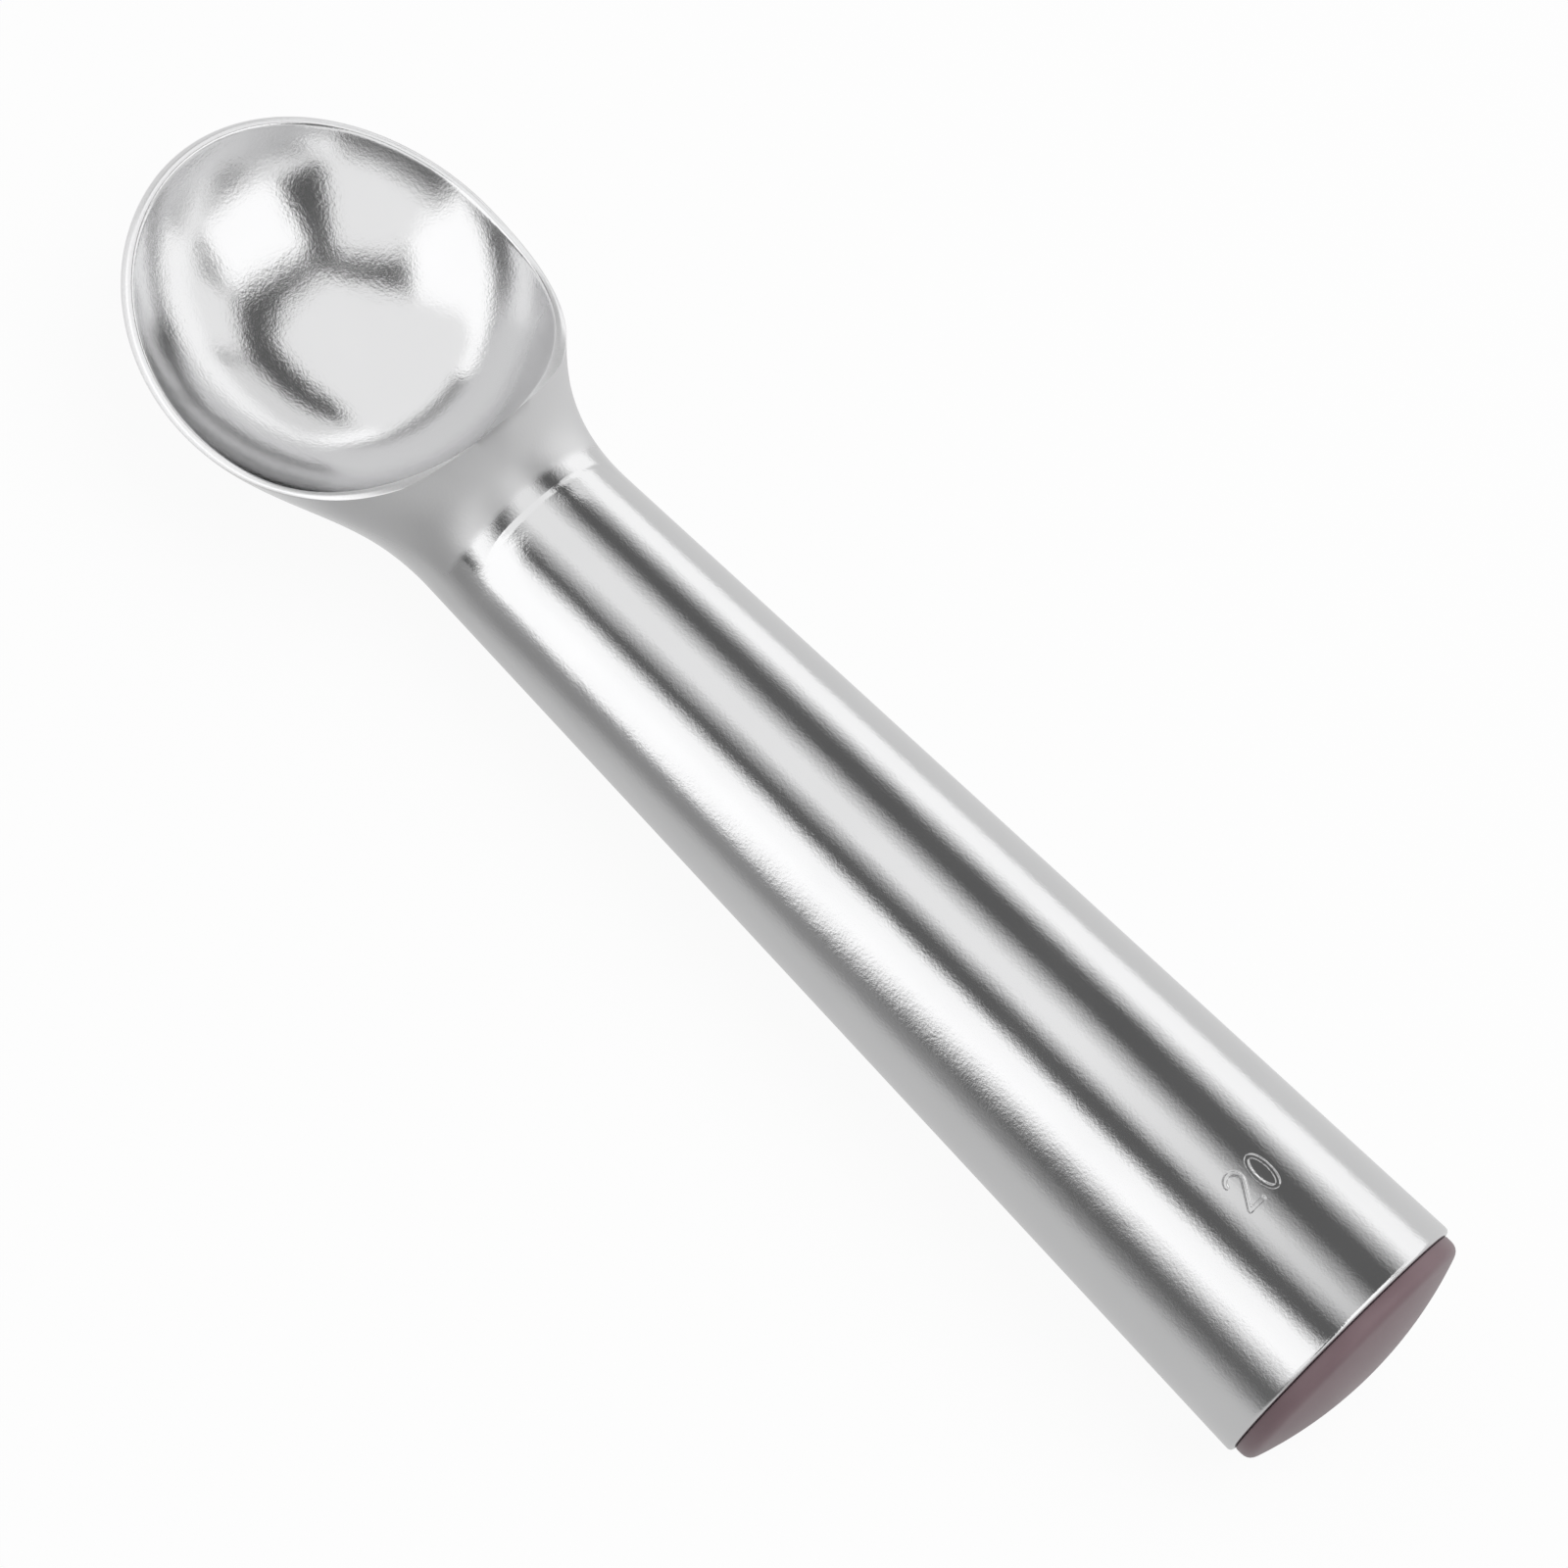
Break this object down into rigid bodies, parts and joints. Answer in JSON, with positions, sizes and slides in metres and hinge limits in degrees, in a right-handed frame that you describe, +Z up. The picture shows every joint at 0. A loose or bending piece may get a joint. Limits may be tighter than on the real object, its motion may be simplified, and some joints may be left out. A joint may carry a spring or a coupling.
{
  "type": "ice cream scoop",
  "caption": "Cast aluminium ice cream dipper with an egg-shaped bowl, a saddle-shaped rim and a tapered hollow handle that holds heat-carrying liquid under a domed plastic end cap.",
  "frame": {"origin": "on the table under the middle of the scoop's bounding box, with the scoop lying on its bowl and the lower edge of its butt end", "axes": "+X along the handle from the cap to the bowl, +Z up out of the open bowl, +Y across the bowl"},
  "size_m": [0.1824, 0.0434, 0.032],
  "materials": {
    "polished_aluminium": "polished casting with a fine grain",
    "heat_fluid": "clear liquid",
    "turned_aluminium": "turned",
    "seal_rubber": "matte",
    "plum_plastic": "smooth moulded, plum coloured"
  },
  "bodies": {
    "root": {"scoop_casting": "polished_aluminium", "heat_fluid": "heat_fluid", "seal_plug": "turned_aluminium", "plug_seal_ring": "seal_rubber", "end_cap": "plum_plastic"}
  },
  "joints": []
}
